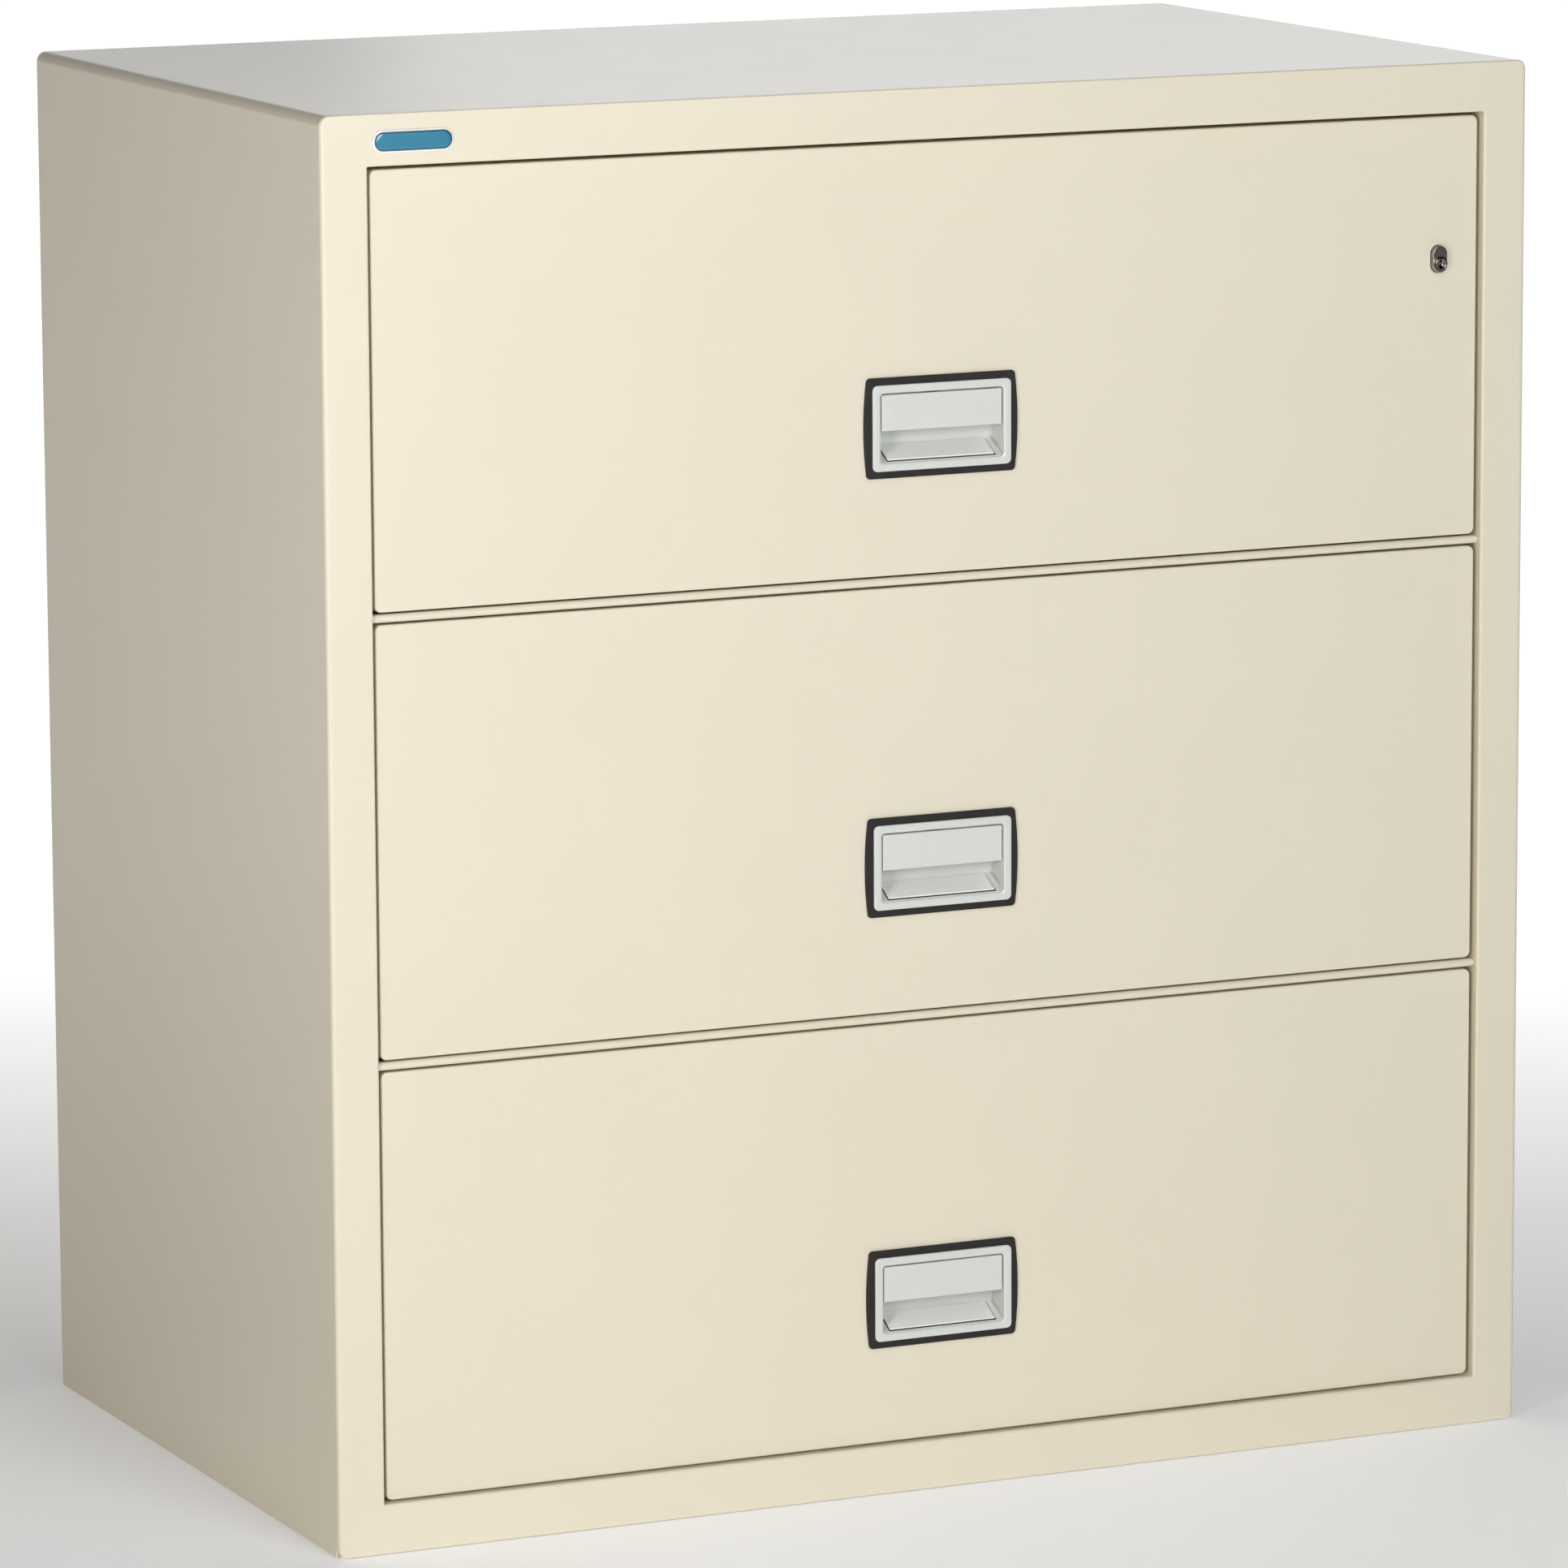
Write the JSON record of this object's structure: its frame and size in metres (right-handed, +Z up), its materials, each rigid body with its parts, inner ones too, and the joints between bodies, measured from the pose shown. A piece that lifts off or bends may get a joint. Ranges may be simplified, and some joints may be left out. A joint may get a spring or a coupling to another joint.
{
  "type": "filing cabinet",
  "caption": "Wide fire-resistant lateral filing cabinet: insulated steel case, drawers on telescopic slides, recessed pull handles and a push lock.",
  "frame": {"origin": "centre of the cabinet's footprint, on the floor", "axes": "+X to the right seen from the front, -Y out of the drawers' front, +Z up"},
  "size_m": [0.975, 0.5922, 1.05],
  "materials": {
    "cabinet_paint": "cream powder coat, semi-gloss, very fine orange peel",
    "liner_paint": "cream-grey powder coat, satin",
    "insulation": "cast gypsum, matte and chalky",
    "zinc_plate": "bright zinc-plated steel",
    "handle_silver": "silver-grey moulded plastic, satin",
    "handle_bezel": "black moulded plastic, matte",
    "lock_chrome": "polished nickel-chrome plate",
    "badge_enamel": "blue under a clear glossy dome, thin white rim"
  },
  "bodies": {
    "cabinet": {"outer_wrap": "cabinet_paint", "back_panel": "cabinet_paint", "base_panel": "cabinet_paint", "face_frame": "cabinet_paint", "badge": "badge_enamel", "insulation": "insulation", "inner_liner": "liner_paint", "mid_rail_lower": "cabinet_paint", "mid_rail_upper": "cabinet_paint", "shelf_lower_skin": "liner_paint", "shelf_lower_core": "insulation", "shelf_upper_skin": "liner_paint", "shelf_upper_core": "insulation", "lock_bar_guide_lower": "zinc_plate", "lock_bar_guide_upper": "zinc_plate", "bottom_slide_outer_left": "zinc_plate", "bottom_slide_outer_right": "zinc_plate", "middle_slide_outer_left": "zinc_plate", "middle_slide_outer_right": "zinc_plate", "top_slide_outer_left": "zinc_plate", "top_slide_outer_right": "zinc_plate"},
    "bottom_drawer": {"bottom_drawer_front": "cabinet_paint", "bottom_drawer_core": "insulation", "bottom_head_plate": "liner_paint", "bottom_tray": "liner_paint", "bottom_handle_bezel": "handle_bezel", "bottom_handle_housing": "handle_silver", "bottom_slide_inner_left": "zinc_plate", "bottom_slide_inner_right": "zinc_plate"},
    "bottom_slide_middle_left": {"bottom_slide_middle_left": "zinc_plate"},
    "bottom_slide_middle_right": {"bottom_slide_middle_right": "zinc_plate"},
    "bottom_paddle": {"bottom_handle_paddle": "handle_silver"},
    "bottom_latch_rod": {"bottom_latch_rod": "zinc_plate"},
    "middle_drawer": {"middle_drawer_front": "cabinet_paint", "middle_drawer_core": "insulation", "middle_head_plate": "liner_paint", "middle_tray": "liner_paint", "middle_handle_bezel": "handle_bezel", "middle_handle_housing": "handle_silver", "middle_slide_inner_left": "zinc_plate", "middle_slide_inner_right": "zinc_plate"},
    "middle_slide_middle_left": {"middle_slide_middle_left": "zinc_plate"},
    "middle_slide_middle_right": {"middle_slide_middle_right": "zinc_plate"},
    "middle_paddle": {"middle_handle_paddle": "handle_silver"},
    "middle_latch_rod": {"middle_latch_rod": "zinc_plate"},
    "top_drawer": {"top_drawer_front": "cabinet_paint", "top_drawer_core": "insulation", "top_head_plate": "liner_paint", "top_tray": "liner_paint", "top_handle_bezel": "handle_bezel", "top_handle_housing": "handle_silver", "top_slide_inner_left": "zinc_plate", "top_slide_inner_right": "zinc_plate"},
    "top_slide_middle_left": {"top_slide_middle_left": "zinc_plate"},
    "top_slide_middle_right": {"top_slide_middle_right": "zinc_plate"},
    "top_paddle": {"top_handle_paddle": "handle_silver"},
    "top_latch_rod": {"top_latch_rod": "zinc_plate"},
    "lock_plunger": {"lock_plunger": "lock_chrome"},
    "lock_plug": {"lock_plug": "lock_chrome"},
    "lock_bar": {"lock_bar": "zinc_plate"}
  },
  "joints": [
    {"name": "bottom_drawer_slide", "type": "slide", "parent": "cabinet", "child": "bottom_drawer", "axis": [0, -1, 0], "range_m": [0, 0.41]},
    {"name": "bottom_slide_middle_left_travel", "type": "slide", "parent": "cabinet", "child": "bottom_slide_middle_left", "axis": [0, -1, 0], "range_m": [0, 0.205]},
    {"name": "bottom_slide_middle_right_travel", "type": "slide", "parent": "cabinet", "child": "bottom_slide_middle_right", "axis": [0, -1, 0], "range_m": [0, 0.205]},
    {"name": "bottom_paddle_hinge", "type": "hinge", "parent": "bottom_drawer", "child": "bottom_paddle", "pos_m": [0, -0.2895, 0.1704], "axis": [-1, 0, 0], "range_deg": [0, 20], "stiffness_Nm_per_rad": 0.4, "springref_deg": -17.19},
    {"name": "bottom_latch_travel", "type": "slide", "parent": "bottom_drawer", "child": "bottom_latch_rod", "axis": [0, 0, -1], "range_m": [0, 0.00876]},
    {"name": "middle_drawer_slide", "type": "slide", "parent": "cabinet", "child": "middle_drawer", "axis": [0, -1, 0], "range_m": [0, 0.41]},
    {"name": "middle_slide_middle_left_travel", "type": "slide", "parent": "cabinet", "child": "middle_slide_middle_left", "axis": [0, -1, 0], "range_m": [0, 0.205]},
    {"name": "middle_slide_middle_right_travel", "type": "slide", "parent": "cabinet", "child": "middle_slide_middle_right", "axis": [0, -1, 0], "range_m": [0, 0.205]},
    {"name": "middle_paddle_hinge", "type": "hinge", "parent": "middle_drawer", "child": "middle_paddle", "pos_m": [0, -0.2895, 0.4971], "axis": [-1, 0, 0], "range_deg": [0, 20], "stiffness_Nm_per_rad": 0.4, "springref_deg": -17.19},
    {"name": "middle_latch_travel", "type": "slide", "parent": "middle_drawer", "child": "middle_latch_rod", "axis": [0, 0, -1], "range_m": [0, 0.00876]},
    {"name": "top_drawer_slide", "type": "slide", "parent": "cabinet", "child": "top_drawer", "axis": [0, -1, 0], "range_m": [0, 0.41]},
    {"name": "top_slide_middle_left_travel", "type": "slide", "parent": "cabinet", "child": "top_slide_middle_left", "axis": [0, -1, 0], "range_m": [0, 0.205]},
    {"name": "top_slide_middle_right_travel", "type": "slide", "parent": "cabinet", "child": "top_slide_middle_right", "axis": [0, -1, 0], "range_m": [0, 0.205]},
    {"name": "top_paddle_hinge", "type": "hinge", "parent": "top_drawer", "child": "top_paddle", "pos_m": [0, -0.2895, 0.8238], "axis": [-1, 0, 0], "range_deg": [0, 20], "stiffness_Nm_per_rad": 0.4, "springref_deg": -17.19},
    {"name": "top_latch_travel", "type": "slide", "parent": "top_drawer", "child": "top_latch_rod", "axis": [0, 0, -1], "range_m": [0, 0.00876]},
    {"name": "lock_push", "type": "slide", "parent": "top_drawer", "child": "lock_plunger", "axis": [0, 1, 0], "range_m": [0, 0.005], "stiffness_N_per_m": 1500, "springref_m": -0.008},
    {"name": "lock_turn", "type": "hinge", "parent": "lock_plunger", "child": "lock_plug", "pos_m": [0.415, -0.2889, 0.8993], "axis": [0, 1, 0], "range_deg": [0, 90]},
    {"name": "lock_bar_drop", "type": "slide", "parent": "cabinet", "child": "lock_bar", "axis": [0, 0, -1], "range_m": [0, 0.005]}
  ],
  "couplings": [
    {"joint": "bottom_slide_middle_left_travel", "follows": "bottom_drawer_slide", "ratio": 0.5},
    {"joint": "bottom_slide_middle_right_travel", "follows": "bottom_drawer_slide", "ratio": 0.5},
    {"joint": "bottom_paddle_hinge", "follows": "bottom_latch_travel", "rad_per_m": 39.84},
    {"joint": "middle_slide_middle_left_travel", "follows": "middle_drawer_slide", "ratio": 0.5},
    {"joint": "middle_slide_middle_right_travel", "follows": "middle_drawer_slide", "ratio": 0.5},
    {"joint": "middle_paddle_hinge", "follows": "middle_latch_travel", "rad_per_m": 39.84},
    {"joint": "top_slide_middle_left_travel", "follows": "top_drawer_slide", "ratio": 0.5},
    {"joint": "top_slide_middle_right_travel", "follows": "top_drawer_slide", "ratio": 0.5},
    {"joint": "top_paddle_hinge", "follows": "top_latch_travel", "rad_per_m": 39.84},
    {"joint": "lock_bar_drop", "follows": "lock_push", "ratio": 1}
  ]
}
